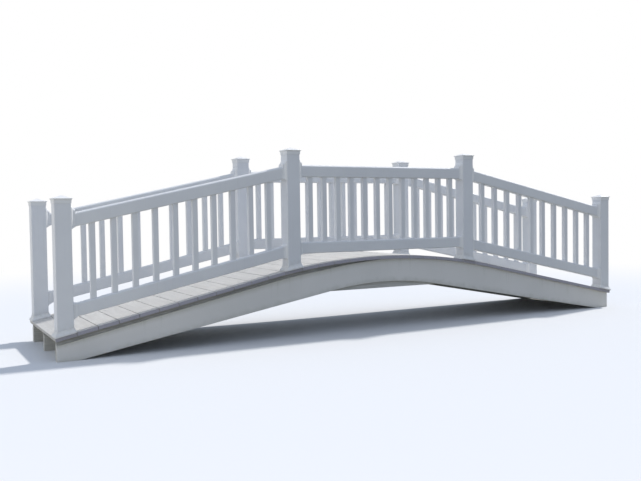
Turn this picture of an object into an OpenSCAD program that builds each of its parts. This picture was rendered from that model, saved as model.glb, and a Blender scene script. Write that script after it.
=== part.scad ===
// Arched garden footbridge with white railings.
// Millimetres. +X runs along the bridge, +Y across it, +Z up.
// The origin is on the ground under the middle of the arch.
// "Near" is the -Y side, "far" the +Y side; "left" is -X, "right" is +X.

/* [Deck] */
// Width of the deck across the bridge
deck_width = 1067; // [900:1:1300]
// Width of one deck board along the bridge
board_width = 139.7; // [120:0.1:150]
// Thickness of a deck board
board_thickness = 25.4; // [20:0.1:32]
// Open joint between two deck boards
board_joint = 3.2; // [2:0.1:5]
// Radius of the eased edges of a deck board
board_edge_radius = 3; // [1:0.5:5]
// Boards on the curved crown, an odd number so that one lies at the very top
crown_board_count = 15; // [13:2:17]
// Least reach of the deck past the end posts' outer faces
deck_margin = 8; // [0:1:60]

/* [Arch] */
// Height of the walking surface above the ground at the middle
crown_height = 600; // [560:1:700]
// Radius of the walking surface over the crown
crown_radius = 5110; // [4900:10:5600]

/* [Fascias] */
// Thickness of the white fascia on each side
fascia_thickness = 19; // [12:1:25]
// Depth of a fascia at the middle of the arch
fascia_depth = 184; // [160:1:200]
// Radius of the curve in a fascia's lower edge
soffit_radius = 2800; // [2400:10:3200]
// Slope of its straight lower edges, in degrees
soffit_slope = 10.1; // [9:0.1:11.5]
// Gap under the boards of the left ramp, where the fascias are cut lower
fascia_gap = 32; // [0:1:40]
// Distance to the left of the middle over which that gap opens
fascia_gap_run = 620; // [400:10:900]
// How far the boards reach out past the fascias
board_overhang = 25; // [10:1:40]
// How far the last board reaches past the plumb ends of fascias and stringers
end_overhang = 10; // [0:1:20]

/* [Stringers] */
// Thickness of a timber stringer
stringer_thickness = 38; // [30:1:50]
// Depth of a stringer at the middle, where its lower edge is left straight and level
stringer_depth = 235; // [215:1:250]
// How far its sloping lower edges stay above those of a fascia
stringer_reveal = 5; // [1:1:12]

/* [Cross blocks] */
// Thickness of a cross block along the bridge
block_thickness = 38; // [30:1:50]
// Height of a cross block
block_height = 110; // [80:1:130]
// Drop of a block's top below the stringers' top edges
block_drop = 6; // [5:1:10]
// Distance of an end block from the stringers' plumb ends
end_block_inset = 110; // [80:1:180]
// Clearance of an end block above the ground
end_block_clear = 12; // [5:1:30]

/* [Posts] */
// Width of a square post
post_width = 108; // [90:1:120]
// Radius of a post's corners
post_corner_radius = 5; // [2:0.5:10]
// Height of a post's top above the top rail's upper edge
post_rise = 110; // [90:1:150]
// Distance of the inner posts from the middle of the bridge
inner_post_x = 842; // [835:1:848]
// Distance of the end posts from the middle of the bridge
end_post_x = 2530; // [2480:1:2540]

/* [Post caps] */
// How far a cap's brim reaches past the post
cap_overhang = 12; // [9:1:22]
// Thickness of the brim's edge
cap_brim = 7; // [5:0.5:10]
// Rise of the pyramid above the brim
cap_rise = 19; // [12:1:30]
// Height of the cove between the brim and the cap's sleeve
cap_cove = 16; // [8:1:20]
// Length of the straight sleeve below the cove
cap_sleeve = 14; // [8:1:20]
// Wall of the cap's sleeve
cap_wall = 3; // [2:0.5:5]

/* [Post skirts] */
// Height of the trim round the foot of a post
skirt_height = 36; // [20:1:44]
// Thickness of that trim at its foot
skirt_thickness = 18; // [8:1:22]
// Thickness of the trim at its top edge
skirt_top = 3; // [2:0.5:5]

/* [Rails] */
// Height of a rail's section
rail_height = 89; // [76:1:100]
// Width of a rail's section
rail_width = 64; // [51:1:70]
// Radius of a rail's long edges
rail_edge_radius = 8; // [3:1:12]
// Height of the top rails' upper edge above the line of the ramps
top_rail_height = 785; // [740:1:820]
// Height of the sloping bottom rails' lower edge above the line of the ramps
bottom_rail_clear = 98; // [80:1:120]
// Gap between the crown of the deck and the level bottom rail
middle_rail_clear = 45; // [30:1:70]

/* [Rail collars] */
// Length of the flared collar where a rail meets a post
collar_length = 28; // [18:1:36]
// Height of a top rail's collar above the rail, at its outer end
tall_rise = 24; // [8:1:32]
// Further rise of its upper side towards the post
tall_flare = 22; // [10:1:26]
// Flare of a collar's other sides above and below the rail, towards the post
low_flare = 8; // [4:1:20]
// Wall of the collar round the rail
collar_wall = 3; // [2:0.5:5]
// Distance of the flare from the post's corners
collar_inset = 3; // [1:0.5:8]

/* [Balusters] */
// Width of a square baluster
baluster_width = 38; // [32:1:44]
// Radius of a baluster's corners
baluster_corner_radius = 3; // [1:0.5:6]
// Balusters in each sloping bay
end_bay_balusters = 10; // [9:1:11]
// Spacing of the balusters in the sloping bays
end_bay_spacing = 144.5; // [136:0.1:148]
// Balusters in the level middle bay
middle_bay_balusters = 12; // [10:1:12]
// Spacing of the balusters in the middle bay
middle_bay_spacing = 123.5; // [115:0.1:126]

/* [Hidden] */

// Sides of the bridge, and bays and ends along it
near = -1;
far = 1;
left = -1;
middle = 0;
right = 1;

// Clearance between a piece and what it rests on or fits into
seat = 0.3;
// Larger than any piece, for cutting away one side of a plane
beyond = 3000;
// Segments in each moulded curve, round each small rounded edge and along the curve of a soffit
cove_steps = 6;
edge_fn = 32;
soffit_steps = 18;

vinyl = [0.93, 0.94, 0.96];
cladding = [0.86, 0.87, 0.87];
timber = [0.62, 0.55, 0.42];
decking = [0.80, 0.79, 0.76];

// The walking line: an arc over the crown with a straight ramp tangent to each end, and
// enough whole boards on the ramp to pass the end post
board_pitch = board_width + board_joint;
crown_length = crown_board_count * board_pitch / 2;
ramp_slope = crown_length / crown_radius * 180 / PI;
crown_half_x = crown_radius * sin(ramp_slope);
post_half = post_width / 2;
ramp_least = (end_post_x + post_half + deck_margin - crown_half_x) / cos(ramp_slope);
ramp_board_count = ceil(ramp_least / board_pitch);
ramp_foot_s = crown_length + ramp_board_count * board_pitch - board_joint / 2;
function walk_tilt(s) = sign(s) * min(abs(s), crown_length) / crown_radius * 180 / PI;
function walk_x(s) = crown_radius * sin(walk_tilt(s))
    + sign(s) * max(abs(s) - crown_length, 0) * cos(ramp_slope);
function walk_z(s) = crown_height - crown_radius * (1 - cos(walk_tilt(s)))
    - max(abs(s) - crown_length, 0) * sin(ramp_slope);
function walk_s(x) = sign(x) * (abs(x) <= crown_half_x
    ? crown_radius * asin(abs(x) / crown_radius) * PI / 180
    : crown_length + (abs(x) - crown_half_x) / cos(ramp_slope));

// The middle of the board under a point of the walk
function board_s(x) = round(walk_s(x) / board_pitch) * board_pitch;

// The straight line of a ramp, carried on up to the inner posts
function ramp_line(x) = walk_z(crown_length) - (abs(x) - crown_half_x) * tan(ramp_slope);

// Fascias, stringers and blocks. A stringer's lower edge is level for the middle stretch and
// meets the ground a little further out than the fascia's.
stringer_end_x = walk_x(ramp_foot_s) - board_thickness * sin(ramp_slope) - end_overhang;
stringer_top_radius = crown_radius - board_thickness - seat;
stringer_top_z = crown_height - board_thickness - seat;
soffit_crown_z = stringer_top_z - fascia_depth;
fascia_y = deck_width / 2 - board_overhang - fascia_thickness / 2;
outer_stringer_y = fascia_y - fascia_thickness / 2 - seat - stringer_thickness / 2;
soffit_foot_x = soffit_radius * sin(soffit_slope)
    + (soffit_crown_z - soffit_radius * (1 - cos(soffit_slope))) / tan(soffit_slope);
stringer_level_z = stringer_top_z - stringer_depth;
stringer_foot_x = soffit_foot_x + stringer_reveal / tan(soffit_slope);
stringer_level_x = stringer_foot_x - stringer_level_z / tan(soffit_slope);
function stringer_top(x) = abs(x) <= stringer_top_radius * sin(ramp_slope)
    ? stringer_top_z - stringer_top_radius + sqrt(stringer_top_radius ^ 2 - x ^ 2)
    : ramp_line(x) - (board_thickness + seat) / cos(ramp_slope);

// Posts stand with their outer faces flush with the deck's edges
post_row_y = (deck_width - post_width) / 2;
function post_top(x) = ramp_line(x) + top_rail_height + post_rise;

// Rails
rail_rise = rail_height / cos(ramp_slope);
middle_top_z = ramp_line(inner_post_x) + top_rail_height;
middle_bottom_z = crown_height + middle_rail_clear + rail_height;
ramp_top_offset = top_rail_height * cos(ramp_slope);
ramp_bottom_offset = (bottom_rail_clear + rail_rise) * cos(ramp_slope);

// A rectangle centred on the origin with rounded corners
module rounded_rectangle(w, h, r) {
    square([w - 2 * r, h], center = true);
    square([w, h - 2 * r], center = true);
    for (x = [-1, 1], y = [-1, 1])
        translate([x * (w / 2 - r), y * (h / 2 - r)]) circle(r, $fn = edge_fn);
}

// Puts its children on the walking line at length s from the middle, tilted with it
module on_walk(s) {
    translate([walk_x(s), 0, walk_z(s)]) rotate([0, walk_tilt(s), 0]) children();
}

// Puts its children at the head of the right ramp, x running down the slope
module on_ramp() {
    translate([crown_half_x, 0, walk_z(crown_length)]) rotate([0, ramp_slope, 0]) children();
}

// Lays an outline drawn in x and height upright, with its thickness across the bridge
module upright(thickness) {
    translate([0, thickness / 2, 0]) rotate([90, 0, 0]) linear_extrude(thickness) children();
}

// Runs a section drawn in y and height along +X
module along(length) {
    rotate([90, 0, 90]) linear_extrude(length) children();
}

// Everything between the facing faces of two posts
module between_posts(x1, x2) {
    translate([x1 + post_half + seat, -beyond, -beyond])
        cube([x2 - x1 - post_width - 2 * seat, 2 * beyond, 2 * beyond]);
}

// Turns a piece drawn for the right side into the one on the given side
module on_end(end) {
    mirror([end < 0 ? 1 : 0, 0, 0]) children();
}

// Deck boards, numbered from the middle, with their top edges eased
module board_section() {
    difference() {
        translate([-board_width / 2, -board_thickness]) square([board_width, board_thickness]);
        for (side = [-1, 1])
            translate([side * board_width / 2, 0]) difference() {
                square(2 * board_edge_radius, center = true);
                translate([-side * board_edge_radius, -board_edge_radius])
                    circle(board_edge_radius, $fn = edge_fn);
            }
    }
}

module deck_boards(first, last) {
    color(decking)
        for (i = [first:last])
            on_walk(i * board_pitch) upright(deck_width) board_section();
}

// Points along an arc that peaks at height top, from -slope to slope
function crest(radius, top, slope, steps) = [
    for (i = [0:steps])
        let (a = slope * (2 * i / steps - 1))
            [radius * sin(a), top - radius * (1 - cos(a))]
];

// Outline of a fascia or stringer: curved over the crown, straight down both ramps, with
// plumb ends and level seats on the ground from foot_x outwards. Its upper edge runs under the
// boards, and on the left below them by the gap. The lower edge between the seats is given
// from right to left.
module arch_outline(foot_x, gap, lower) {
    top = crest(stringer_top_radius, stringer_top_z, ramp_slope, 2 * crown_board_count);
    end_z = stringer_top(stringer_end_x);
    polygon(concat(
        [[-stringer_end_x, 0], [-stringer_end_x, end_z - gap]],
        [for (p = top) [p.x, p.y - gap * min(max(-p.x / fascia_gap_run, 0), 1)]],
        [[stringer_end_x, end_z], [stringer_end_x, 0], [foot_x, 0]],
        lower,
        [[-foot_x, 0]]
    ));
}

// The white fascia on one side, with a curved soffit between straight slopes
module side_fascia(row) {
    soffit = crest(soffit_radius, soffit_crown_z, soffit_slope, soffit_steps);
    color(cladding) translate([0, row * fascia_y, 0]) upright(fascia_thickness)
        arch_outline(soffit_foot_x, fascia_gap,
            [for (i = [0:soffit_steps]) soffit[soffit_steps - i]]);
}

// One timber stringer, its middle plane at y
module stringer(y) {
    color(timber) translate([0, y, 0]) upright(stringer_thickness)
        arch_outline(stringer_foot_x, 0,
            [[stringer_level_x, stringer_level_z], [-stringer_level_x, stringer_level_z]]);
}

// Blocks between the stringers: at the crown, under the inner posts, and at the ends, where
// they reach down close to the ground
module cross_blocks() {
    bay = outer_stringer_y - stringer_thickness - 2 * seat;
    end_x = stringer_end_x - end_block_inset;
    color(timber)
        for (x = [-end_x, -inner_post_x, 0, inner_post_x, end_x], side = [-1, 1]) {
            top = stringer_top(x) - block_drop;
            height = abs(x) == end_x ? top - end_block_clear : block_height;
            translate([x - block_thickness / 2, side * outer_stringer_y / 2 - bay / 2, top - height])
                cube([block_thickness, bay, height]);
        }
}

// The slab of space below the top of the board that a post stands on
module below_deck(x, lift) {
    on_walk(board_s(x)) translate([-beyond / 2, -beyond / 2, -beyond])
        cube([beyond, beyond, beyond + lift]);
}

// A post at x, cut to the slope of the board beneath it
module post(x, row) {
    color(vinyl) difference() {
        translate([x, row * post_row_y, 0]) linear_extrude(post_top(x))
            rounded_rectangle(post_width, post_width, post_corner_radius);
        below_deck(x, seat);
    }
}

// Outline of a cap's side: sleeve, cove, brim and pyramid
module cap_outline() {
    sleeve = post_half + seat + cap_wall;
    brim = post_half + cap_overhang;
    cove = brim - sleeve;
    side = concat(
        [[sleeve, -cap_cove - cap_sleeve]],
        [for (i = [0:cove_steps])
            [brim - cove * cos(90 * i / cove_steps), cap_cove * (sin(90 * i / cove_steps) - 1)]],
        [[brim, cap_brim]]
    );
    last = len(side) - 1;
    polygon(concat(
        side,
        [[0, cap_brim + cap_rise]],
        [for (i = [0:last]) [-side[last - i].x, side[last - i].y]]
    ));
}

// A cap over the head of a post, open below to take it
module cap(x, row) {
    socket = post_width + 2 * seat;
    reach = post_half + cap_overhang;
    color(vinyl) translate([x, row * post_row_y, post_top(x) + seat])
        difference() {
            intersection() {
                upright(2 * reach) cap_outline();
                rotate([0, 0, 90]) upright(2 * reach) cap_outline();
            }
            translate([-socket / 2, -socket / 2, -beyond]) cube([socket, socket, beyond]);
        }
}

// Outline of a skirt's side: a foot that thins to its top edge
module skirt_outline(half) {
    polygon([
        [-half - skirt_thickness, seat],
        [half + skirt_thickness, seat],
        [half + skirt_thickness, seat + skirt_height / 3],
        [half + skirt_top, seat + skirt_height],
        [-half - skirt_top, seat + skirt_height],
        [-half - skirt_thickness, seat + skirt_height / 3]
    ]);
}

// The trim round the foot of a post, lying on the deck
module skirt(x, row) {
    hole = post_width + 2 * seat;
    lean = post_half / cos(walk_tilt(board_s(x)));
    slide = (x - walk_x(board_s(x))) / cos(walk_tilt(board_s(x)));
    difference() {
        on_walk(board_s(x)) translate([slide, row * post_row_y, 0]) intersection() {
            upright(2 * post_width) skirt_outline(lean);
            rotate([0, 0, 90]) upright(2 * post_width) skirt_outline(post_half);
        }
        translate([x - hole / 2, row * post_row_y - hole / 2, -beyond]) cube([hole, hole, 2 * beyond]);
    }
}

module post_skirts() {
    color(vinyl)
        for (row = [near, far], x = [-end_post_x, -inner_post_x, inner_post_x, end_post_x])
            skirt(x, row);
}

// A rail's section, hanging down from its top edge, grown all round by extra
module rail_section(extra = 0) {
    translate([0, -rail_height / 2])
        rounded_rectangle(rail_width + 2 * extra, rail_height + 2 * extra, rail_edge_radius + extra);
}

// The level rail of the middle bay, with its upper edge at the given height
module level_rail(row, top) {
    color(vinyl) translate([0, row * post_row_y, top]) intersection() {
        translate([-inner_post_x, 0, 0]) along(2 * inner_post_x) rail_section();
        between_posts(-inner_post_x, inner_post_x);
    }
}

// A rail of the right bay, its upper edge at the given distance square to the ramp
module sloping_rail(row, offset) {
    color(vinyl) intersection() {
        on_ramp() translate([-crown_half_x, row * post_row_y, offset])
            along(beyond) rail_section();
        between_posts(inner_post_x, end_post_x);
    }
}

module top_rail(bay, row) {
    if (bay == middle) level_rail(row, middle_top_z);
    else on_end(bay) sloping_rail(row, ramp_top_offset);
}

module bottom_rail(bay, row) {
    if (bay == middle) level_rail(row, middle_bottom_z);
    else on_end(bay) sloping_rail(row, ramp_bottom_offset);
}

// Upright balusters of one bay, not yet cut to length
module baluster_row(count, spacing, centre, row) {
    for (i = [0:count - 1])
        translate([centre + (i - (count - 1) / 2) * spacing, row * post_row_y, 0])
            linear_extrude(beyond)
                rounded_rectangle(baluster_width, baluster_width, baluster_corner_radius);
}

// The slab of space between a bottom rail's upper edge and a top rail's lower edge
module between_rails(bottom, top) {
    translate([-beyond, -beyond, bottom + seat])
        cube([2 * beyond, 2 * beyond, top - rail_height - bottom - 2 * seat]);
}

module balusters(bay, row) {
    color(vinyl)
        if (bay == middle)
            intersection() {
                baluster_row(middle_bay_balusters, middle_bay_spacing, 0, row);
                between_rails(middle_bottom_z, middle_top_z);
            }
        else
            on_end(bay) intersection() {
                baluster_row(end_bay_balusters, end_bay_spacing, (inner_post_x + end_post_x) / 2, row);
                on_ramp() between_rails(ramp_bottom_offset, ramp_top_offset);
            }
}

// Outline of a collar: wide at the post, each side coming in by its flare along a half wave,
// and the whole outline falling with the rail
module collar_outline(upper, upper_flare, lower, lower_flare, slope) {
    wave = [for (i = [0:2 * cove_steps])
        [seat + (collar_length - seat) * i / (2 * cove_steps), (1 + cos(90 * i / cove_steps)) / 2]];
    last = len(wave) - 1;
    fall = tan(slope);
    polygon(concat(
        [for (w = wave) [w.x, upper + upper_flare * w.y - fall * w.x]],
        [for (i = [0:last])
            let (w = wave[last - i])
                [w.x, -lower - lower_flare * w.y - fall * w.x]]
    ));
}

// A collar on +X from a post's face, open for the rail. The rail's middle line starts at the
// origin and slopes down; the collar's ends stay plumb. A tall one stands well above the rail.
module collar(tall, slope) {
    side = rail_width / 2 + seat + collar_wall;
    side_flare = post_half - collar_inset - side;
    bottom = rail_height / 2 / cos(slope) + seat + collar_wall;
    top = tall ? rail_height / 2 / cos(slope) + tall_rise : bottom;
    difference() {
        intersection() {
            upright(post_width)
                collar_outline(top, tall ? tall_flare : low_flare, bottom, low_flare, slope);
            translate([0, 0, -post_width])
                linear_extrude(2 * post_width) collar_outline(side, side_flare, side, side_flare, 0);
        }
        rotate([0, slope, 0]) translate([-beyond / 2, 0, rail_height / 2])
            along(beyond) rail_section(seat);
    }
}

// The two collars of a rail between the posts at x1 and x2. The rail's middle line has the
// height middle_z where it leaves the first post, and slopes down to the second.
module collar_pair(x1, x2, row, middle_z, slope, tall) {
    run = x2 - x1 - post_width;
    translate([x1 + post_half, row * post_row_y, middle_z]) collar(tall, slope);
    translate([x2 - post_half, row * post_row_y, middle_z - run * tan(slope)])
        mirror([1, 0, 0]) collar(tall, -slope);
}

module rail_collars() {
    ramp_z = ramp_line(inner_post_x + post_half);
    ramp_bottom_z = ramp_z + bottom_rail_clear + rail_rise / 2;
    ramp_top_z = ramp_z + top_rail_height - rail_rise / 2;
    color(vinyl) for (row = [near, far]) {
        collar_pair(-inner_post_x, inner_post_x, row, middle_bottom_z - rail_height / 2, 0, false);
        collar_pair(-inner_post_x, inner_post_x, row, middle_top_z - rail_height / 2, 0, true);
        for (bay = [left, right]) on_end(bay) {
            collar_pair(inner_post_x, end_post_x, row, ramp_bottom_z, ramp_slope, false);
            collar_pair(inner_post_x, end_post_x, row, ramp_top_z, ramp_slope, true);
        }
    }
}

post(-end_post_x, near);  // near_left_end_post
post(-inner_post_x, near);  // near_left_inner_post
post(inner_post_x, near);  // near_right_inner_post
post(end_post_x, near);  // near_right_end_post
post(-end_post_x, far);  // far_left_end_post
post(-inner_post_x, far);  // far_left_inner_post
post(inner_post_x, far);  // far_right_inner_post
post(end_post_x, far);  // far_right_end_post
cap(-end_post_x, near);  // near_left_end_cap
cap(-inner_post_x, near);  // near_left_inner_cap
cap(inner_post_x, near);  // near_right_inner_cap
cap(end_post_x, near);  // near_right_end_cap
cap(-end_post_x, far);  // far_left_end_cap
cap(-inner_post_x, far);  // far_left_inner_cap
cap(inner_post_x, far);  // far_right_inner_cap
cap(end_post_x, far);  // far_right_end_cap
post_skirts();
top_rail(left, near);  // near_left_top_rail
top_rail(middle, near);  // near_middle_top_rail
top_rail(right, near);  // near_right_top_rail
top_rail(left, far);  // far_left_top_rail
top_rail(middle, far);  // far_middle_top_rail
top_rail(right, far);  // far_right_top_rail
bottom_rail(left, near);  // near_left_bottom_rail
bottom_rail(middle, near);  // near_middle_bottom_rail
bottom_rail(right, near);  // near_right_bottom_rail
bottom_rail(left, far);  // far_left_bottom_rail
bottom_rail(middle, far);  // far_middle_bottom_rail
bottom_rail(right, far);  // far_right_bottom_rail
balusters(left, near);  // near_left_balusters
balusters(middle, near);  // near_middle_balusters
balusters(right, near);  // near_right_balusters
balusters(left, far);  // far_left_balusters
balusters(middle, far);  // far_middle_balusters
balusters(right, far);  // far_right_balusters
rail_collars();
side_fascia(near);  // near_fascia
side_fascia(far);  // far_fascia
stringer(-outer_stringer_y);  // near_stringer
stringer(0);  // centre_stringer
stringer(outer_stringer_y);  // far_stringer
cross_blocks();
deck_boards(-(crown_board_count - 1) / 2 - ramp_board_count, -(crown_board_count + 1) / 2);  // left_ramp_boards
deck_boards(-(crown_board_count - 1) / 2, (crown_board_count - 1) / 2);  // crown_boards
deck_boards((crown_board_count + 1) / 2, (crown_board_count - 1) / 2 + ramp_board_count);  // right_ramp_boards
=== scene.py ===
import bpy
import numpy as np
from mathutils import Matrix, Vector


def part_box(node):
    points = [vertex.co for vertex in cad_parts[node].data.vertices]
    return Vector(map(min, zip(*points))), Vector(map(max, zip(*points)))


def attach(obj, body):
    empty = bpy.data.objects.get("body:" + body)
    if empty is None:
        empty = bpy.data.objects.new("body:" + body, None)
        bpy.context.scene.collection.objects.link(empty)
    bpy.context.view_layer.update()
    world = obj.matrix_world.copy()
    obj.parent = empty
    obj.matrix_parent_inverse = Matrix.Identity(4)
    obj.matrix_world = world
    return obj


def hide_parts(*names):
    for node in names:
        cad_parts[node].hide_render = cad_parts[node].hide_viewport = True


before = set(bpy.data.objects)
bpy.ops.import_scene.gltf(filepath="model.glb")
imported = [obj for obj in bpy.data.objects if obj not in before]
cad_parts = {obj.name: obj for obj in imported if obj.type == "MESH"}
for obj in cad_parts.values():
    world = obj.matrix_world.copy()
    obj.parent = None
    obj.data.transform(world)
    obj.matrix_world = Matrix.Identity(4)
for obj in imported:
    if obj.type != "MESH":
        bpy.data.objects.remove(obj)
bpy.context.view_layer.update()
scene = bpy.context.scene
scene.view_settings.view_transform = "Standard"


# The view. The camera stands in front of the bridge and beyond its left end, as high as the
# outer ends of its top rails, and looks across it to the right, so the far railing shows
# between the near balusters.
camera_place = np.array([-3.488, -5.733, 0.952])
camera_yaw, camera_pitch, camera_roll = 0.5043, 0.0353, -0.0141
picture_width = 641.0
focal_pixels = 770.2
sensor_width = 36.0


def camera_axes(yaw, pitch, roll):
    """Right, up and back of a camera that is turned by yaw from +Y towards +X, tipped down by
    pitch, and then rolled about the line that it looks along."""
    ahead = np.array([np.sin(yaw), np.cos(yaw), 0.0])
    across = np.array([np.cos(yaw), -np.sin(yaw), 0.0])
    rise = np.array([0.0, 0.0, 1.0])
    forward = ahead * np.cos(pitch) - rise * np.sin(pitch)
    up = rise * np.cos(pitch) + ahead * np.sin(pitch)
    right = across * np.cos(roll) + up * np.sin(roll)
    return right, up * np.cos(roll) - across * np.sin(roll), -forward


def stand(name, data, right, up, back, place):
    """A new object at a place, with its own axes along right, up and back. A camera or a lamp
    looks away from back."""
    turned = np.eye(4)
    turned[:3] = np.stack([right, up, back, place], axis=1)
    item = bpy.data.objects.new(name, data)
    item.matrix_world = Matrix(turned.tolist())
    scene.collection.objects.link(item)
    return item


view = bpy.data.cameras.new("view")
view.sensor_fit = "HORIZONTAL"
view.sensor_width = sensor_width
view.lens = sensor_width * focal_pixels / picture_width
view.clip_end = 200.0
turned_to = camera_axes(camera_yaw, camera_pitch, camera_roll)
scene.camera = stand("view", view, *turned_to, camera_place)


# Light. One lamp stands beyond the right end, a little to the far side, so tops and right
# flanks are bright and the near faces lie in soft shade. A faint warm one lifts the left
# flanks, and an even pale blue surround does the rest.
lamp_distance = 12.0


def lamp(name, azimuth, elevation, strength, spread, colour):
    """A sun lamp. Azimuth runs from +X towards +Y and the angles are in degrees; the lamp looks
    from there to the origin."""
    light = bpy.data.lights.new(name, "SUN")
    light.energy = strength
    light.angle = np.radians(spread)
    light.color = colour
    a, e = np.radians(azimuth), np.radians(elevation)
    back = np.array([np.cos(e) * np.cos(a), np.cos(e) * np.sin(a), np.sin(e)])
    side = np.cross([0.0, 0.0, 1.0], back)
    side /= np.linalg.norm(side)
    stand(name, light, side, np.cross(back, side), back, back * lamp_distance)


lamp("high_lamp", azimuth=12.0, elevation=47.0, strength=2.45, spread=4.0,
     colour=(1.0, 0.975, 0.94))
lamp("left_lamp", azimuth=190.0, elevation=22.0, strength=0.30, spread=40.0,
     colour=(1.0, 0.95, 0.86))


class Wire:
    """An output socket in a node tree. Arithmetic on it adds Math nodes, and add() adds any
    other node; a Wire made without a socket only knows its tree."""

    def __init__(self, tree, socket=None):
        self.tree, self.socket = tree, socket

    def add(self, kind, settings=None, sockets=None, out=0):
        """Adds a node: first its settings, then the values or links of its sockets, by name or
        number. Returns its output socket of the name or number out, if it has any."""
        node = self.tree.nodes.new(kind)
        for name, value in (settings or {}).items():
            setattr(node, name, value)
        for name, value in (sockets or {}).items():
            if isinstance(value, Wire):
                self.tree.links.new(value.socket, node.inputs[name])
            else:
                node.inputs[name].default_value = value
        return Wire(self.tree, node.outputs[out]) if len(node.outputs) else None

    def math(self, operation, a, b=0.0):
        """Adds a Math node. Its second value counts for nothing where it takes only one."""
        return self.add("ShaderNodeMath", {"operation": operation}, {0: a, 1: b})

    def __add__(self, other):
        return self.math("ADD", self, other)

    def __sub__(self, other):
        return self.math("SUBTRACT", self, other)

    def __rsub__(self, other):
        return self.math("SUBTRACT", other, self)

    def __mul__(self, other):
        return self.math("MULTIPLY", self, other)

    __radd__ = __add__
    __rmul__ = __mul__


def backdrop_rays(wire):
    """1 for rays that show the backdrop: from the camera, off gloss or through glass."""
    camera, gloss, glass = (wire.add("ShaderNodeLightPath", out=f"Is {kind} Ray")
                            for kind in ("Camera", "Glossy", "Transmission"))
    return wire.math("MAXIMUM", wire.math("MAXIMUM", camera, gloss), glass)


plain_white = (1.0, 1.0, 1.0, 1.0)
surround_blue = (0.66, 0.78, 1.0, 1.0)
surround_strength = 0.58
world = bpy.data.worlds.new("surround")
world.use_nodes = True
world.node_tree.nodes.clear()
sky = Wire(world.node_tree)
surround = sky.add("ShaderNodeBackground", None,
                   {"Color": surround_blue, "Strength": surround_strength})
backdrop = sky.add("ShaderNodeBackground", None, {"Color": plain_white, "Strength": 1.0})
around = sky.add("ShaderNodeMixShader", None, {0: backdrop_rays(sky), 1: surround, 2: backdrop})
sky.add("ShaderNodeOutputWorld", None, {"Surface": around})
scene.world = world


# The floor. A plain pale sheet that keeps the shadow near the bridge and fades to white
# further out. In the middle it throws little light back up at the bridge, and less still in
# front; near the two ends it throws more, at the left one most.
floor_reach = 60.0


def smooth(value, low, high):
    """0 below low and 1 above high, with an even S between; high may be the lower one."""
    return value.add("ShaderNodeMapRange", {"interpolation_type": "SMOOTHSTEP"},
                     {"Value": value, "From Min": low, "From Max": high})


def blend(factor, first, second):
    """The first colour where the factor is 0 and the second where it is 1. A colour is a Wire
    or its red, green and blue."""
    first, second = (colour if isinstance(colour, Wire) else (*colour, 1.0)
                     for colour in (first, second))
    # A Mix node of colours uses its inputs 0, 6 and 7 and its output 2.
    sockets = {0: factor, 6: first, 7: second}
    return factor.add("ShaderNodeMix", {"data_type": "RGBA"}, sockets, 2)


def finish_start(name):
    """A new empty material, with a Wire on its tree and one on its Object coordinates."""
    finish = bpy.data.materials.new(name)
    finish.use_nodes = True
    finish.node_tree.nodes.clear()
    wire = Wire(finish.node_tree)
    return finish, wire, wire.add("ShaderNodeTexCoord", out="Object")


def along_axis(vector, axis):
    """One coordinate of a vector: 0, 1 and 2 are X, Y and Z."""
    return vector.add("ShaderNodeSeparateXYZ", None, {0: vector}, axis)


floor_finish, sheet, spot = finish_start("floor_finish")
seen = backdrop_rays(sheet)
distance = sheet.add("ShaderNodeVectorMath", {"operation": "LENGTH"}, {0: spot}, "Value")
along, across = along_axis(spot, 0), along_axis(spot, 1)
near_ends = smooth(along, -0.8, -2.6) + smooth(along, 0.8, 2.6) * 0.35
in_front = smooth(across, -0.45, -1.1)
dark_middle = blend(in_front * 0.66, (0.33, 0.33, 0.295), (0.05, 0.055, 0.045))
bounce = blend(near_ends, dark_middle, (0.53, 0.50, 0.42))
colour = blend(seen, bounce, (0.88, 0.88, 0.88))
matte = sheet.add("ShaderNodeBsdfDiffuse", None, {"Color": colour})
glow = sheet.add("ShaderNodeEmission", None, {"Color": plain_white, "Strength": 1.0})
fade = smooth(distance, 3.2, 9.0) * seen
surface = sheet.add("ShaderNodeMixShader", None, {0: fade, 1: matte, 2: glow})
sheet.add("ShaderNodeOutputMaterial", None, {"Surface": surface})
floor_mesh = bpy.data.meshes.new("floor")
floor_mesh.from_pydata([(x * floor_reach, y * floor_reach, 0.0)
                        for x, y in ((-1, -1), (1, -1), (1, 1), (-1, 1))], [], [(0, 1, 2, 3)])
floor_mesh.materials.append(floor_finish)
floor = bpy.data.objects.new("floor", floor_mesh)
scene.collection.objects.link(floor)


# Timber stringers. Three planks on edge carry the deck: the upper edge is sawn to the walking
# line, the lower edge is left straight and level in the middle and slopes to the seats. Treated
# softwood, gone pale grey with the weather, with the arrises eased by the planer.
board_pitch = 0.1429
board_thickness = 0.0254
crown_boards = 15
ramp_boards = 11
crown_radius = 5.110
crown_height = 0.600
seat_gap = 0.0003
sharp_angle = np.radians(50)
crown_length = crown_boards * board_pitch / 2
ramp_slope = crown_length / crown_radius
crown_half_x = crown_radius * np.sin(ramp_slope)
crown_edge_z = crown_height - crown_radius * (1 - np.cos(ramp_slope))


def ramp_line(x):
    """Height of the straight ramp, carried on inwards: it falls from the crown's edge by the
    tangent of its slope."""
    return crown_edge_z - (np.abs(x) - crown_half_x) * np.tan(ramp_slope)


def stringer_top(x):
    """Height of the stringers' upper edge: an arc over the crown, a straight line below."""
    radius = crown_radius - board_thickness - seat_gap
    top = crown_height - board_thickness - seat_gap
    arc = top - radius + np.sqrt(np.maximum(radius**2 - x**2, 0))
    straight = ramp_line(x) - (board_thickness + seat_gap) / np.cos(ramp_slope)
    return np.where(np.abs(x) <= radius * np.sin(ramp_slope), arc, straight)


def points(x, y, z):
    """Points from their three coordinates, each spread to the shape that all share."""
    return np.stack(np.broadcast_arrays(x, y, z), -1)


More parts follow.
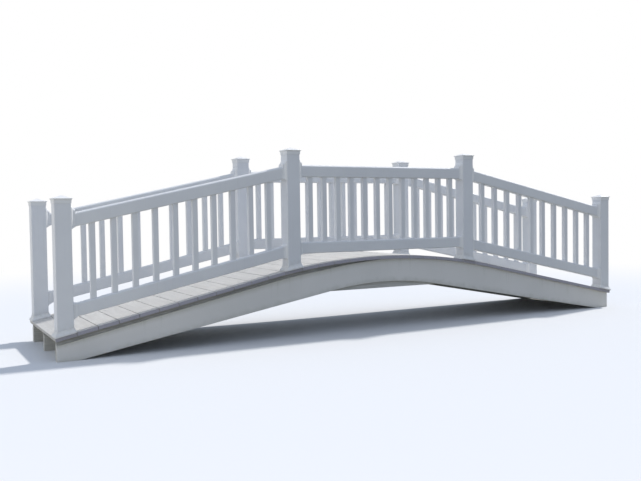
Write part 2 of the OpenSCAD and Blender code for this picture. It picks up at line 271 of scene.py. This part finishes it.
def rounded(width, height, radius, steps=4):
    """Points round a rectangle: each corner's centre plus the radius times the cosine and sine
    of an angle that goes once round. The three sizes may be arrays, with one for each ring."""
    w, h, r = (np.atleast_1d(np.asarray(v, float))[:, None] for v in (width, height, radius))
    angle = ((np.arange(4)[:, None] + np.linspace(0, 1, steps + 1)) * np.pi / 2).ravel()
    sx = np.repeat([1.0, -1.0, -1.0, 1.0], steps + 1)
    sy = np.repeat([1.0, 1.0, -1.0, -1.0], steps + 1)
    across, over = sx * (w / 2 - r) + r * np.cos(angle), sy * (h / 2 - r) + r * np.sin(angle)
    return np.stack(np.broadcast_arrays(across, over), -1)


def solid(name, rings, slot, nodes, finish, closed=False, **marks):
    """A piece made of rings of points, shaped (bars, rings, points, 3). Four points of two
    neighbouring rings make each side face; the end rings are filled, or where closed is set
    the last ring joins the first. Marks are point attributes, spread to the rings' shape."""
    rings = np.asarray(rings, float)
    bars, rows, cols = rings.shape[:3]
    index = np.arange(bars * rows * cols).reshape(bars, rows, cols)
    here, there = (index, np.roll(index, -1, 1)) if closed else (index[:, :-1], index[:, 1:])
    sides = np.stack([here, np.roll(here, -1, 2), np.roll(there, -1, 2), there], -1).reshape(-1, 4)
    faces = sides.tolist()
    if not closed:
        faces += index[:, 0, ::-1].tolist() + index[:, -1].tolist()
    mesh = bpy.data.meshes.new(name)
    corners = rings.reshape(-1, 3)
    mesh.from_pydata(corners.tolist(), [], faces)
    # Summed over the faces, a times (b x c + c x d) has the sign of the volume that they close.
    a, b, c, d = (corners[sides[:, k]] for k in range(4))
    volume = (a * (np.cross(b, c) + np.cross(c, d))).sum()
    if volume < 0:
        mesh.flip_normals()
    for title, values in marks.items():
        layer = mesh.attributes.new(title, "FLOAT", "POINT")
        spread = np.broadcast_to(values, (bars, rows, cols)).astype(np.float32).ravel()
        layer.data.foreach_set("value", spread)
    mesh.shade_smooth()
    mesh.set_sharp_from_angle(angle=sharp_angle)
    mesh.materials.append(finish)
    item = bpy.data.objects.new(name, mesh)
    scene.collection.objects.link(item)
    even = item.modifiers.new("even_shading", "WEIGHTED_NORMAL")
    even.keep_sharp = True
    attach(item, "root")
    if nodes:
        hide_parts(*nodes)


def stretched(place, x, y, z):
    """The coordinates times a number for each axis, so a pattern is short where it is large."""
    return place.add("ShaderNodeVectorMath", {"operation": "MULTIPLY"}, {0: place, 1: (x, y, z)})


def noise(place, scale, detail, rough=0.5, warp=0.0):
    """A cloudy pattern about 0.5, of the given scale in cycles a metre."""
    return place.add("ShaderNodeTexNoise", None, {
        "Vector": place, "Scale": scale, "Detail": detail, "Roughness": rough, "Distortion": warp})


def mark(wire, name):
    """A point attribute of the mesh, as a number."""
    return wire.add("ShaderNodeAttribute", {"attribute_name": name}, None, "Fac")


def finish_end(wire, colour, roughness, height, depth, **constants):
    """The shader and output: a Bump node turns height into normals, depth is its reach in
    metres, and constants go straight onto the shader's sockets."""
    bump = wire.add("ShaderNodeBump", None, {"Height": height, "Distance": depth, "Strength": 1.0})
    sockets = {"Base Color": colour, "Roughness": roughness, "Normal": bump}
    sockets.update({name.replace("_", " "): value for name, value in constants.items()})
    shader = wire.add("ShaderNodeBsdfPrincipled", None, sockets)
    wire.add("ShaderNodeOutputMaterial", None, {"Surface": shader})


def timber_finish(name, grain):
    """Weathered softwood, its grain along the axis of that letter. Rings are a noise drawn out
    along the grain and warped; darker latewood lines, grey bloom and small checks lie over it,
    and close under the boards, where the mark "rise" nears 1, it is painted dark as painted shade."""
    finish, wire, place = finish_start(name)

    def drawn(lengthwise, across, detail, rough=0.5, warp=0.0):
        scales = (lengthwise if axis == grain else across for axis in "xyz")
        return noise(stretched(place, *scales), 1.0, detail, rough, warp)

    figure = drawn(1.6, 30.0, 4.0, 0.55, 1.4)
    lines = smooth(drawn(3.0, 240.0, 2.0), 0.5, 0.72)
    checks = smooth(drawn(5.0, 520.0, 1.0), 0.70, 0.76)
    bloom = smooth(noise(place, 7.0, 4.0, 0.6), 0.35, 0.7)
    # Painted shade: the timber is darkened close under the boards, where they shade it.
    under_board_shade = smooth(mark(wire, "rise") + bloom * 0.04, 0.80, 0.94)
    colour = blend(smooth(figure, 0.3, 0.7), (0.60, 0.585, 0.54), (0.74, 0.73, 0.68))
    colour = blend(lines * 0.35, colour, (0.27, 0.24, 0.19))
    colour = blend(bloom * 0.35, colour, (0.52, 0.525, 0.50))
    colour = blend(checks * 0.6, colour, (0.12, 0.105, 0.085))
    colour = blend(under_board_shade * 0.55, colour, (0.20, 0.195, 0.19))
    finish_end(wire, colour, 0.72 + figure * 0.2, figure * 0.5 - lines * 0.35 - checks,
               depth=0.0008)
    return finish


timber = timber_finish("weathered_timber", "x")
plank_thickness = 0.038
plank_depth = 0.235
plank_arris = 0.003
fascia_depth = 0.184
fascia_lap = 0.005
soffit_radius = 2.800
soffit_slope = np.radians(10.1)
stringer_top_z = crown_height - board_thickness - seat_gap
soffit_crown_z = stringer_top_z - fascia_depth
soffit_bend_x = soffit_radius * np.sin(soffit_slope)
soffit_foot_x = soffit_bend_x + (
    soffit_crown_z - soffit_radius * (1 - np.cos(soffit_slope))) / np.tan(soffit_slope)
stringer_end_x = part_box("near_stringer")[1][0]
plank_foot_x = soffit_foot_x + fascia_lap / np.tan(soffit_slope)
plank_level_z = stringer_top_z - plank_depth
plank_level_x = plank_foot_x - plank_level_z / np.tan(soffit_slope)
stringers = ("near_stringer", "centre_stringer", "far_stringer")


def plank_bottom(x):
    """Height of a stringer's lower edge: level in the middle, then down to the floor."""
    sloping = (plank_foot_x - np.abs(x)) * np.tan(soffit_slope)
    return np.clip(sloping, 0.0, plank_level_z)


def middle_y(node):
    """Where the middle of a solid lies across the bridge."""
    low_corner, high_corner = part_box(node)
    return (low_corner[1] + high_corner[1]) / 2


def side_plank(name, node, slot, finish, thickness, arris, bottom, top, kinks, steps=120):
    """A plank on edge along the bridge: a rounded rectangle at each even step along X and at
    the kinks, which reaches from bottom(x) up to top(x). The mark "rise" goes from 0 at the
    lower edge to 1 at the upper one."""
    kinks = np.array(kinks)
    even = np.linspace(-stringer_end_x, stringer_end_x, steps + 1)
    x = np.unique(np.concatenate([even, kinks, -kinks]))
    low, high = bottom(x), top(x)
    outline = rounded(thickness, high - low, arris, 3)
    z = (low + high)[:, None] / 2 + outline[..., 1]
    rise = (z - low[:, None]) / (high - low)[:, None]
    rings = points(x[:, None], middle_y(node) + outline[..., 0], z)
    solid(name, [rings], slot, [node], finish, rise=rise)


for node in stringers:
    side_plank("timber_" + node, node, "timber", timber, plank_thickness, plank_arris,
               plank_bottom, stringer_top, [plank_level_x, plank_foot_x, crown_half_x])


# Cross blocks. Short lengths of the same timber stand between the stringers at the crown,
# under the inner posts and at the ends, and keep them upright. The CAD solids are right as
# they are and only take the timber's finish.
block_timber = timber_finish("block_timber", "y")
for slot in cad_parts["cross_blocks"].material_slots:
    slot.material = block_timber


# Fascias. A thin white board covers the outer face of each outside stringer. It is cut from
# sheet, its lower edge curved under the crown, and fixed from behind. It is a little dirty low
# down, and close under the boards on the left it is painted darker as painted shade.
fascia_thickness = 0.019
fascia_arris = 0.002
ramp_gap = 0.032
ramp_gap_x = 0.62


def soffit(x):
    """Height of a fascia's lower edge: an arc under the crown, then its tangent down to the
    floor."""
    arc = soffit_crown_z - soffit_radius + np.sqrt(np.maximum(soffit_radius**2 - x**2, 0))
    straight = (soffit_foot_x - np.abs(x)) * np.tan(soffit_slope)
    return np.clip(np.where(np.abs(x) <= soffit_bend_x, arc, straight), 0.0, None)


def fascia_top(x):
    """Height of a fascia's upper edge: just under the boards, but to the left of the middle a
    gap opens evenly to its full width and stays so down the left ramp."""
    return stringer_top(x) - ramp_gap * np.clip(-x / ramp_gap_x, 0.0, 1.0)


fascia_finish, wire, place = finish_start("fascia_board")
rise = mark(wire, "rise")
cloud = noise(place, 2.2, 4.0, 0.55)
streak = noise(stretched(place, 26.0, 26.0, 1.2), 1.0, 3.0, 0.6)
splash = smooth(rise + noise(place, 18.0, 3.0) * 0.35, 0.42, 0.12)
drip = smooth(streak, 0.56, 0.78) * smooth(rise, 0.25, 1.0)
# Painted shade: close under the boards on the left, the fascia is darkened where the deck's
# overhang shades it.
under_deck_shade = smooth(rise + streak * 0.08, 0.78, 1.06) * smooth(along_axis(place, 0), 0.6, -0.5)
peel = noise(place, 420.0, 2.0)
colour = blend(smooth(cloud, 0.3, 0.7), (0.80, 0.785, 0.75), (0.855, 0.835, 0.80))
colour = blend(drip * 0.30, colour, (0.52, 0.52, 0.46))
colour = blend(splash * 0.38, colour, (0.50, 0.50, 0.42))
colour = blend(under_deck_shade * 0.42, colour, (0.40, 0.38, 0.27))
finish_end(wire, colour, 0.42 + splash * 0.25 + cloud * 0.12, cloud * 1.5 + peel * 0.12,
           depth=0.0009, Specular_IOR_Level=0.45)
for node in ("near_fascia", "far_fascia"):
    side_plank("white_" + node, node, "fascia", fascia_finish, fascia_thickness, fascia_arris,
               soffit, fascia_top, [soffit_bend_x, soffit_foot_x, crown_half_x, ramp_gap_x])


# Deck boards. Solid composite boards lie across the stringers with a narrow open joint and
# reach past the fascias. Their long edges are eased, a woodgrain is pressed into the top, and
# the sawn ends show a darker core. No two have quite the same tone.
deck_width = 1.067
board_width = 0.1397
board_edge = 0.003
board_ease = 0.0015
board_slip = 0.0012
rng = np.random.default_rng(12)


def walk(s):
    """A point of the walking line at length s from the middle: x, height and tilt. Over the
    crown the tilt is the length over the radius; further out it stays as it is."""
    tilt = np.sign(s) * np.minimum(np.abs(s), crown_length) / crown_radius
    spare = np.maximum(np.abs(s) - crown_length, 0)
    x = crown_radius * np.sin(tilt) + np.sign(s) * spare * np.cos(ramp_slope)
    z = crown_height - crown_radius * (1 - np.cos(tilt)) - spare * np.sin(ramp_slope)
    return x, z, tilt


def eased_bar(width, height, length, edge, ease, steps=3):
    """A bar along its second axis: rounded rectangles that shrink over each end's last
    stretch. At an angle a the ring lies ease * (1 - cos a) from the end, drawn in by
    ease * (1 - sin a)."""
    turn = np.linspace(0, np.pi / 2, steps + 1)
    inset = ease * (1 - np.sin(turn))
    back = ease * (1 - np.cos(turn))
    inset = np.concatenate([inset, inset[::-1]])
    along = np.concatenate([-length / 2 + back, (length / 2 - back)[::-1]])
    sharpest = 0.0004
    corner = np.maximum(edge - inset, sharpest)
    outline = rounded(width - 2 * inset, height - 2 * inset, corner, steps)
    return points(outline[..., 0], along[:, None], outline[..., 1])


deck_finish, wire, place = finish_start("composite_decking")
tone, across, sawn = (mark(wire, name) for name in ("tone", "across", "sawn"))
figure = noise(stretched(place, 34.0, 2.6, 34.0), 1.0, 4.0, 0.6, 0.8)
pores = noise(stretched(place, 420.0, 16.0, 420.0), 1.0, 2.0, 0.5)
stain = noise(place, 5.0, 5.0, 0.6)
from_middle = wire.math("ABSOLUTE", across)
edge_dirt = smooth(from_middle + noise(place, 30.0, 3.0) * 0.05, 0.96, 1.03)
other_tone = blend(figure, (0.555, 0.54, 0.52), (0.695, 0.678, 0.645))
core = blend(noise(place, 130.0, 3.0), (0.34, 0.33, 0.38), (0.475, 0.46, 0.515))
colour = blend(smooth(figure, 0.28, 0.72), (0.605, 0.583, 0.55), (0.705, 0.687, 0.655))
colour = blend(tone, colour, other_tone)
colour = blend(smooth(pores, 0.60, 0.74) * 0.25, colour, (0.42, 0.40, 0.37))
colour = blend(smooth(stain, 0.56, 0.74) * 0.22, colour, (0.45, 0.44, 0.40))
colour = blend(edge_dirt * 0.25, colour, (0.30, 0.29, 0.26))
colour = blend(smooth(sawn, 0.3, 0.9), colour, core)
pressed = figure + smooth(pores, 0.45, 0.75) * -0.5
finish_end(wire, colour, 0.52 + figure * 0.18, pressed, depth=0.0007)

# The boards are numbered from 0 in the middle. In a board's own axes s lies along the walk, y
# across it and n out of it; s and n are then turned by its tilt.
crown_last = (crown_boards - 1) // 2
deck_last = crown_last + ramp_boards
bar = eased_bar(board_width, board_thickness, deck_width, board_edge, board_ease)
s, y, n = bar[..., 0], bar[..., 1], bar[..., 2] - board_thickness / 2
ends = np.zeros(y.shape)
ends[:2] = ends[-2:] = 1.0
for node, first, last in (("left_ramp_boards", -deck_last, -crown_last - 1),
                          ("crown_boards", -crown_last, crown_last),
                          ("right_ramp_boards", crown_last + 1, deck_last)):
    number = np.arange(first, last + 1)
    x, z, tilt = (v[:, None, None] for v in walk(number * board_pitch))
    slip = rng.normal(0, board_slip, number.size)[:, None, None]
    tones = rng.uniform(0, 1, number.size)[:, None, None]
    rings = points(x + s * np.cos(tilt) + n * np.sin(tilt), y + slip,
                   z - s * np.sin(tilt) + n * np.cos(tilt))
    solid("deck_" + node, rings, "decking", [node], deck_finish,
          tone=tones, across=s / (board_width / 2), sawn=ends)


# Deck screws. Two coated screws go through each board into each stringer, except where a post
# stands. Their flat heads sit level with the board, with a square recess for the driver.
end_post_x = 2.530
inner_post_x = 0.842
post_keep_off = 0.075
screw_radius = 0.0042
screw_from_middle = 0.040
wander_along, wander_across = 0.0015, 0.002


def screw_heads(name, middles, axes, radius, slot, finish):
    """Flat heads at the middles, each facing along its own third axis. Rings go from the rim
    up over a low dome and down a square recess to its floor; a ring is a circle or, where
    square is set, a small square of the same number of points."""
    turn = np.linspace(0, 2 * np.pi, 16, endpoint=False)
    box = np.maximum(np.abs(np.cos(turn)), np.abs(np.sin(turn)))
    out = np.array([1.0, 0.97, 0.80, 0.42, 0.42])[:, None]
    square = np.array([False, False, False, True, True])[:, None]
    height = np.array([-0.0008, 0.00025, 0.0006, 0.0006, -0.0007])[:, None]
    r = radius * out * np.where(square, 1 / box, 1.0)
    local = points(r * np.cos(turn), r * np.sin(turn), height)
    rings = middles[:, None, None] + np.einsum("rpk,mkj->mrpj", local, axes)
    solid(name, rings, slot, None, finish)


screw_finish, wire, place = finish_start("coated_screw")
colour = blend(noise(place, 900.0, 2.0), (0.42, 0.41, 0.38), (0.58, 0.57, 0.54))
finish_end(wire, colour, 0.45, noise(place, 2500.0, 2.0), depth=0.0001, Metallic=0.3)

x, z, tilt = walk(np.arange(-deck_last, deck_last + 1) * board_pitch)
pair = np.array([-screw_from_middle, screw_from_middle])
rows_y = np.array([middle_y(node) for node in stringers])
grid = np.meshgrid(np.arange(x.size), rows_y, pair, indexing="ij")
board, head_y, along = (g.ravel() for g in grid)
along = along + rng.normal(0, wander_along, along.size)
head_y = head_y + rng.normal(0, wander_across, along.size)
spin = rng.uniform(0, np.pi, along.size)[:, None]
t = tilt[board]
middles = points(x[board] + along * np.cos(t), head_y, z[board] - along * np.sin(t))
down_slope = points(np.cos(t), 0.0, -np.sin(t))
over = np.array([0.0, 1.0, 0.0])
out_of = points(np.sin(t), 0.0, np.cos(t))
axes = np.stack([np.cos(spin) * down_slope + np.sin(spin) * over,
                 np.cos(spin) * over - np.sin(spin) * down_slope, out_of], 1)
off_inner, off_end = (np.abs(np.abs(middles[:, 0]) - post_x) > post_keep_off
                      for post_x in (inner_post_x, end_post_x))
centre_row = np.abs(middles[:, 1]) < deck_width / 4
clear = off_inner & off_end | centre_row
screw_heads("deck_screws", middles[clear], axes[clear], screw_radius, "decking", screw_finish)


# Posts. Square white vinyl sleeves over timber posts, which are bolted inside the stringers.
# The sleeve is extruded with rounded corners and cut to the slope of the board it stands on.
post_width = 0.108
post_corner = 0.005
post_row_y = (deck_width - post_width) / 2
top_rail_height = 0.785
post_rise = 0.110
dirty_height = 0.16
post_rows = (("near", -post_row_y), ("far", post_row_y))
posts = [(f"{row}_{name}", x, y) for row, y in post_rows
         for name, x in (("left_end", -end_post_x), ("left_inner", -inner_post_x),
                         ("right_inner", inner_post_x), ("right_end", end_post_x))]


def post_foot(post_x, x):
    """Height of the deck under a post, at x: the board that the post stands on, carried on at
    its own tilt."""
    if abs(post_x) <= crown_half_x:
        length = np.arcsin(post_x / crown_radius) * crown_radius
    else:
        down_ramp = (abs(post_x) - crown_half_x) / np.cos(ramp_slope)
        length = np.sign(post_x) * (crown_length + down_ramp)
    board_x, board_z, tilt = walk(np.round(length / board_pitch) * board_pitch)
    return board_z - (x - board_x) * np.tan(tilt), tilt


def post_top(x):
    """Height of a post's level head: it rises the same above the line of the top rails."""
    return ramp_line(x) + top_rail_height + post_rise


def vinyl_finish(name, white, grey, sheen=0.34, dusty=1.0):
    """Satin white vinyl: faint clouds in the white, thin dust runs down upright faces, a grey
    bloom on what faces up, dirt low down where the mark "low" is 1, and a fine skin."""
    finish, wire, place = finish_start(name)
    low = mark(wire, "low")
    cloud = noise(place, 3.0, 4.0, 0.55)
    runs = smooth(noise(stretched(place, 60.0, 60.0, 1.6), 1.0, 3.0, 0.6), 0.58, 0.80)
    facing_up = along_axis(wire.add("ShaderNodeNewGeometry", out="Normal"), 2)
    patches = smooth(noise(place, 22.0, 4.0, 0.6), 0.35, 0.75)
    dust = smooth(facing_up, 0.55, 0.95) * patches * dusty
    foot = smooth(low + noise(place, 40.0, 3.0) * 0.5, 0.75, 1.35)
    skin = noise(place, 650.0, 2.0)
    colour = blend(smooth(cloud, 0.3, 0.7), white, grey)
    colour = blend(runs * 0.16, colour, (0.58, 0.58, 0.53))
    colour = blend(dust * 0.22, colour, (0.62, 0.60, 0.54))
    colour = blend(foot * 0.45, colour, (0.46, 0.44, 0.36))
    roughness = sheen + cloud * 0.10 + dust * 0.25 + foot * 0.2
    finish_end(wire, colour, roughness, cloud * 2.0 + skin * 0.06, depth=0.0008,
               Specular_IOR_Level=0.5)
    return finish


post_finish = vinyl_finish("post_vinyl", (0.785, 0.80, 0.825), (0.825, 0.84, 0.865))
# Each ring lies at its own share of the way from the sloping foot up to the level head.
level = np.array([0.0, 0.01, 0.04, 0.10, 0.30, 0.60, 1.0])[:, None]
outline = rounded(post_width, post_width, post_corner, 5)[0]
for name, x, y in posts:
    px, py = x + outline[:, 0], y + outline[:, 1]
    foot, tilt = post_foot(x, px)
    foot = foot + seat_gap / np.cos(tilt)
    z = foot + (post_top(x) - foot) * level
    solid("sleeve_" + name, [points(px, py, z)], "vinyl", [name + "_post"], post_finish,
          low=np.clip(1 - (z - foot) / dirty_height, 0, 1))


# Post skirts. A moulded square trim slides down each post and hides the joint with the deck.
# It has an upright foot, a hollow moulding above it and a thin lip against the post.
skirt_height = 0.0360
skirt_fit = 0.0005
foot_reach = 0.0180
foot_height = 0.0100
foot_edge = 0.0008
upper_edge = 0.0010
hollow_step = 0.0005
hollow_reach = 0.0130
hollow_height = 0.0235
skirt_lip = 0.0030
trim_finish = vinyl_finish("moulded_vinyl", (0.86, 0.865, 0.87), (0.89, 0.895, 0.90),
                           sheen=0.42, dusty=0.25)
# The profile goes from inside round the foot, up the hollow and round the lip. The hollow's
# reach falls from its whole by the sine of an angle that grows to a right angle as it rises.
rise = np.linspace(0, 1, 7)
skirt_reach = np.concatenate([
    [skirt_fit, foot_reach - foot_edge, foot_reach, foot_reach, foot_reach - foot_edge],
    skirt_lip + hollow_step + hollow_reach * (1 - np.sin(rise * np.pi / 2)),
    [skirt_lip, skirt_fit]])
skirt_level = np.concatenate([
    [0.0, 0.0, foot_edge, foot_height - upper_edge, foot_height],
    foot_height + hollow_step + hollow_height * rise, [skirt_height, skirt_height]])
width = post_width + 2 * skirt_reach
outline = rounded(width, width, post_corner + skirt_reach / 2, 5)
rings = []
for name, x, y in posts:
    px = x + outline[..., 0]
    foot = post_foot(x, px)[0] + seat_gap
    rings.append(points(px, y + outline[..., 1], foot + skirt_level[:, None]))
solid("post_trim", rings, "cap_vinyl", ["post_skirts"], trim_finish, closed=True, low=0.75)


# Rails. Hollow vinyl extrusions, each with a loaf-shaped top, run level between the inner posts
# and parallel to the ramps beyond them. The sloping ones are cut plumb at both ends.
rail_height = 0.089
rail_width = 0.064
rail_edge = 0.008
rail_shoulder = 0.014
rail_crown = {"top": 0.004, "bottom": 0.0}
rail_dirt = {"top": 0.0, "bottom": 0.35}
bottom_rail_clear = 0.098
middle_rail_clear = 0.045
middle_top_z = ramp_line(inner_post_x) + top_rail_height
middle_bottom_z = crown_height + middle_rail_clear + rail_height
bay_slope = {"left": ramp_slope, "middle": 0.0, "right": ramp_slope}


def rail_edge_line(bay, which, x):
    """Height of a rail's upper edge at x, level in the middle bay."""
    if bay == "middle":
        return np.full(np.shape(x), middle_top_z if which == "top" else middle_bottom_z)
    above_ramp = {"top": top_rail_height,
                  "bottom": bottom_rail_clear + rail_height / np.cos(ramp_slope)}
    return ramp_line(x) + above_ramp[which]


def loaf(half, above, below, shoulder, corner):
    """Points round a section with a loaf-shaped top, one ring for each entry. At an angle a
    that goes half round, the top lies half times the 0.8th power of cos a to the side, and its
    shoulder times the 0.8th power of sin a up; the two lower corners are arcs."""
    power = 0.8
    sizes = (np.atleast_1d(np.asarray(v, float)) for v in (half, above, below, shoulder, corner))
    half, above, below, shoulder, corner = (v[:, None] for v in np.broadcast_arrays(*sizes))
    a = np.linspace(0, np.pi, 17)
    side = np.repeat([-1.0, 1.0], 5)
    b = np.pi + np.concatenate([np.linspace(0, 0.5, 5), np.linspace(0.5, 1, 5)]) * np.pi
    across = np.concatenate([np.sign(np.cos(a)) * np.abs(np.cos(a)) ** power * half,
                             side * (half - corner) + corner * np.cos(b)], 1)
    over = np.concatenate([above - shoulder + shoulder * np.abs(np.sin(a)) ** power,
                           corner - below + corner * np.sin(b)], 1)
    return np.stack([across, over], -1)


rail_finish = vinyl_finish("rail_vinyl", (0.79, 0.80, 0.82), (0.84, 0.85, 0.86), sheen=0.46)
# The section is drawn square to the rail, and a plumb cut through it is taller by 1 / cos.
for row, y in post_rows:
    for bay, slope in bay_slope.items():
        for which, crown in rail_crown.items():
            node = f"{row}_{bay}_{which}_rail"
            low_corner, high_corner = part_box(node)
            x = np.linspace(low_corner[0], high_corner[0], 9)[:, None]
            outline = loaf(rail_width / 2, rail_height / 2 + crown, rail_height / 2,
                           rail_shoulder + crown, rail_edge)[0]
            z = rail_edge_line(bay, which, x) + (outline[:, 1] - rail_height / 2) / np.cos(slope)
            solid("vinyl_" + node, [points(x, y + outline[:, 0], z)], "vinyl", [node],
                  rail_finish, low=rail_dirt[which])


# Balusters. Square hollow vinyl spindles stand plumb in holes routed in the two rails, so
# their ends follow the rails' slope. Each set here is one bay of one railing.
baluster_width = 0.038
baluster_corner = 0.003
into_rail = 0.003
ramp_count, ramp_spacing = 10, 0.1445
middle_count, middle_spacing = 12, 0.1235
ramp_bay_x = (inner_post_x + end_post_x) / 2
dirty_part = 0.12
baluster_dirt = 0.7
level = np.array([0.0, 0.04, dirty_part, 0.5, 1.0])[:, None]
outline = rounded(baluster_width, baluster_width, baluster_corner)[0]
for row, y in post_rows:
    for bay, count, spacing, centre in (("left", ramp_count, ramp_spacing, -ramp_bay_x),
                                        ("middle", middle_count, middle_spacing, 0.0),
                                        ("right", ramp_count, ramp_spacing, ramp_bay_x)):
        stations = centre + (np.arange(count) - (count - 1) / 2) * spacing
        px = stations[:, None, None] + outline[:, 0]
        base = rail_edge_line(bay, "bottom", px) - into_rail
        rail_depth = rail_height / np.cos(bay_slope[bay])
        head = rail_edge_line(bay, "top", px) - rail_depth + into_rail
        rings = points(px, y + outline[:, 1], base + (head - base) * level)
        solid(f"spindles_{row}_{bay}", rings, "vinyl", [f"{row}_{bay}_balusters"], rail_finish,
              low=np.clip(1 - level / dirty_part, 0, 1) * baluster_dirt)


# Rail collars. A moulded sleeve covers each joint of rail and post and is screwed to the post.
# It fits the rail closely and flares out in a wave against the post, more steeply at the sides
# than above; those of the top rails stand well above the rail.
collar_length = 0.028
collar_wall = 0.003
collar_nosing = 0.0006
collar_fit = 0.0002
collar_corner = 0.004
collar_rise = {"top": 0.027, "bottom": collar_wall}
collar_flare = {"top": 0.025, "bottom": 0.008}
collar_drop_flare = 0.008
collar_margin = 0.003
collar_side = rail_width / 2 + seat_gap + collar_wall
collar_side_flare = post_width / 2 - collar_margin - collar_side
steep_part = 0.62
# The rings go outward from the post along the flare, round the nosing and back inside. The
# flare is half of 1 + cos of an angle that goes half round on its part of the way, then 0.
way = np.linspace(0, 1, 13)
flare, side_flare = (np.append((1 + np.cos(np.minimum(way / part, 1) * np.pi)) / 2, [0, 0, 0])
                     for part in (1.0, steep_part))
outward = np.append(way * (collar_length - collar_nosing), [collar_length, collar_length, 0.0])
outward[0] = seat_gap
nosing = np.append(np.zeros(way.size), [collar_nosing, 0.0, 0.0])
inside = np.arange(outward.size) > way.size
rings = []
for row, y in post_rows:
    for bay, inner, outer in (("left", -inner_post_x, -end_post_x),
                              ("middle", -inner_post_x, inner_post_x),
                              ("right", inner_post_x, end_post_x)):
        rail_half = rail_height / 2 / np.cos(bay_slope[bay])
        for which, crown in rail_crown.items():
            above = rail_half + collar_rise[which] + collar_flare[which] * flare - nosing
            below = rail_half + collar_wall + collar_drop_flare * flare - nosing
            beside = collar_side + collar_side_flare * side_flare - nosing
            outline = loaf(np.where(inside, rail_width / 2 + collar_fit, beside),
                           np.where(inside, rail_half + crown + collar_fit, above),
                           np.where(inside, rail_half + collar_fit, below),
                           rail_shoulder + crown, np.where(inside, rail_edge, collar_corner))
            for post_x, other_x in ((inner, outer), (outer, inner)):
                px = post_x + np.sign(other_x - post_x) * (post_width / 2 + outward)[:, None]
                middle_z = rail_edge_line(bay, which, px) - rail_half
                rings.append(points(px, y + outline[..., 0], middle_z + outline[..., 1]))
solid("rail_joint_collars", rings, "cap_vinyl", ["rail_collars"], trim_finish, closed=True,
      low=0.15)


# Post caps. A moulded vinyl cap is glued over the head of each post: a short sleeve, a hollow
# cove out to a thin brim, and a low pyramid on top that sheds the rain.
cap_overhang = 0.012
cap_brim = 0.0015
cap_rise = 0.0220
cap_cove = 0.016
cap_sleeve = 0.014
cap_wall = 0.003
cap_nose = 0.0008
cap_tip = 0.0008
eave_back = 0.001
rim_lift = 0.0004
corner_share = 0.09
cap_corner = 0.0045
hip_corner = 0.0035
sharpest = 0.0003
head_half = post_width / 2 + seat_gap
sleeve_half = head_half + cap_wall
brim_half = post_width / 2 + cap_overhang
eave_half = brim_half - eave_back
rim_level = rim_lift - cap_sleeve - cap_cove
# The profile goes from the post's head down inside the sleeve, round its rim, out along the
# cove, a quarter turn, round the brim's nose, a half turn, and straight up to the tip.
turn = np.linspace(0, np.pi / 2, 9)
nose = np.linspace(-np.pi / 2, np.pi / 2, 5)[1:-1]
climb = np.linspace(0, 1, 8)[1:]
cap_half = np.concatenate([
    [head_half, head_half, sleeve_half, sleeve_half],
    eave_half - (eave_half - sleeve_half) * np.cos(turn),
    brim_half - cap_nose + cap_nose * np.cos(nose),
    eave_half * (1 - climb) + cap_tip * climb])
cap_level = np.concatenate([
    [0.0, rim_level, rim_level, -cap_cove], cap_cove * (np.sin(turn) - 1),
    cap_nose + cap_nose * np.sin(nose), cap_brim + cap_rise * climb])
cap_corners = np.clip(cap_half * corner_share, sharpest, cap_corner)
cap_corners[-climb.size:] = np.clip(hip_corner * (1 - climb), sharpest, None)
outline = rounded(2 * cap_half, 2 * cap_half, cap_corners)
for name, x, y in posts:
    rings = points(x + outline[..., 0], y + outline[..., 1],
                   post_top(x) + seat_gap + cap_level[:, None])
    solid("cap_" + name, [rings], "cap_vinyl", [name + "_cap"], trim_finish, low=0.0)
